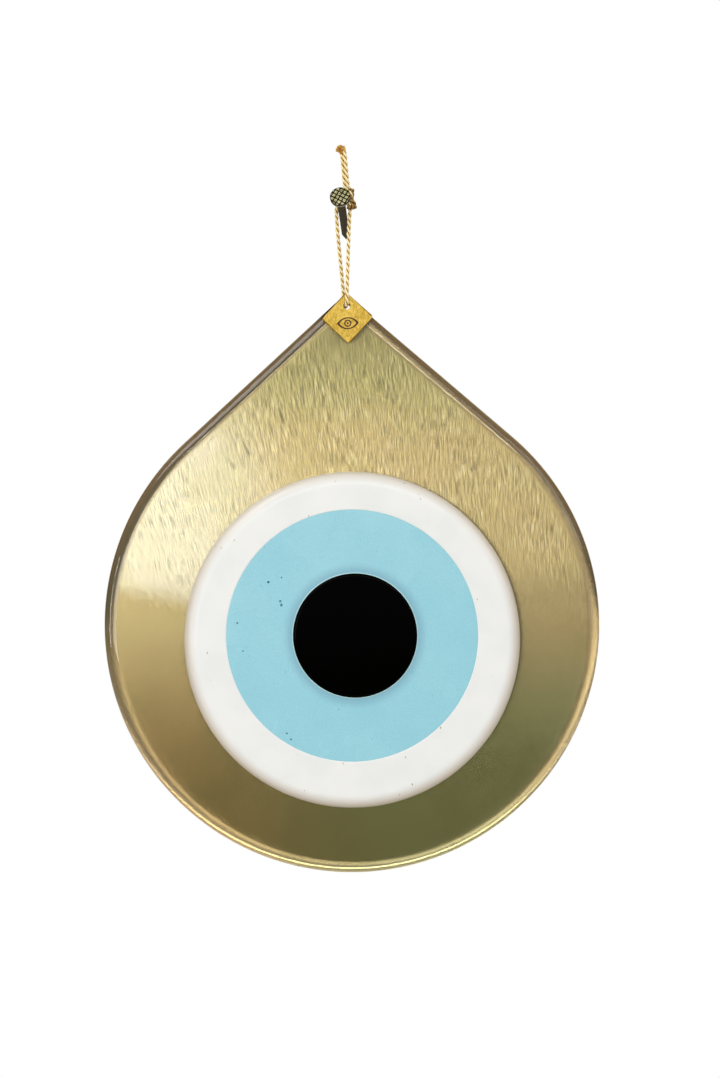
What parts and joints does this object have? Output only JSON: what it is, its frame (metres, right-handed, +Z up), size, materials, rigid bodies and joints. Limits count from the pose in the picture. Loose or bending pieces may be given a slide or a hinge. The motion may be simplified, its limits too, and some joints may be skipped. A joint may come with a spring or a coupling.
{
  "type": "evil eye ornament",
  "caption": "Drop-shaped glass wall ornament with a gold back, a fused white, blue and black eye, a small brass tag and a twisted hanging cord looped over a wall nail.",
  "frame": {"origin": "where the nail's axis goes into the wall surface, which is the plane y = 0", "axes": "+Z up, +Y into the wall, +X to the right as seen from the front; the ornament's face looks along -Y"},
  "size_m": [0.1984, 0.0371, 0.292],
  "materials": {
    "nail_steel": "dark, yellow-passivated steel with a chequered head",
    "gold_cord": "twisted metallic gold thread",
    "clear_glass": "clear, glossy, with melted-round edges",
    "brushed_gold": "brushed, strokes running down the plate",
    "backing": "matt protective film",
    "white_glass": "opaque white glass, glossy, with melted-round edge",
    "blue_glass": "opaque pale blue glass, glossy, with a few pits",
    "black_glass": "opaque black glass, high gloss",
    "tag_brass": "brushed yellow brass",
    "engraving": "dark filling of an engraving"
  },
  "bodies": {
    "nail": {"wall_nail": "nail_steel"},
    "cord": {"cord_loop": "gold_cord", "cord_knot": "gold_cord", "cord_tail_left": "gold_cord", "cord_tail_right": "gold_cord", "cord_tip": "gold_cord"},
    "plate": {"glass_plate": "clear_glass", "gold_layer": "brushed_gold", "backing_film": "backing", "white_disc": "white_glass", "blue_disc": "blue_glass", "black_pupil": "black_glass"},
    "tag": {"brass_tag": "tag_brass", "tag_mark": "engraving"}
  },
  "joints": [
    {"name": "cord_swing", "type": "hinge", "parent": "nail", "child": "cord", "pos_m": [-0.00043, -0.0075, 0.00273], "axis": [0, -1, 0], "range_deg": [-25, 25]},
    {"name": "plate_rock", "type": "hinge", "parent": "cord", "child": "plate", "pos_m": [0, -0.0075, -0.0359], "axis": [0, -1, 0], "range_deg": [-20, 20]},
    {"name": "tag_swivel", "type": "hinge", "parent": "cord", "child": "tag", "pos_m": [0.0006, -0.0075, -0.0359], "axis": [0, -1, 0], "range_deg": [-30, 30]}
  ]
}
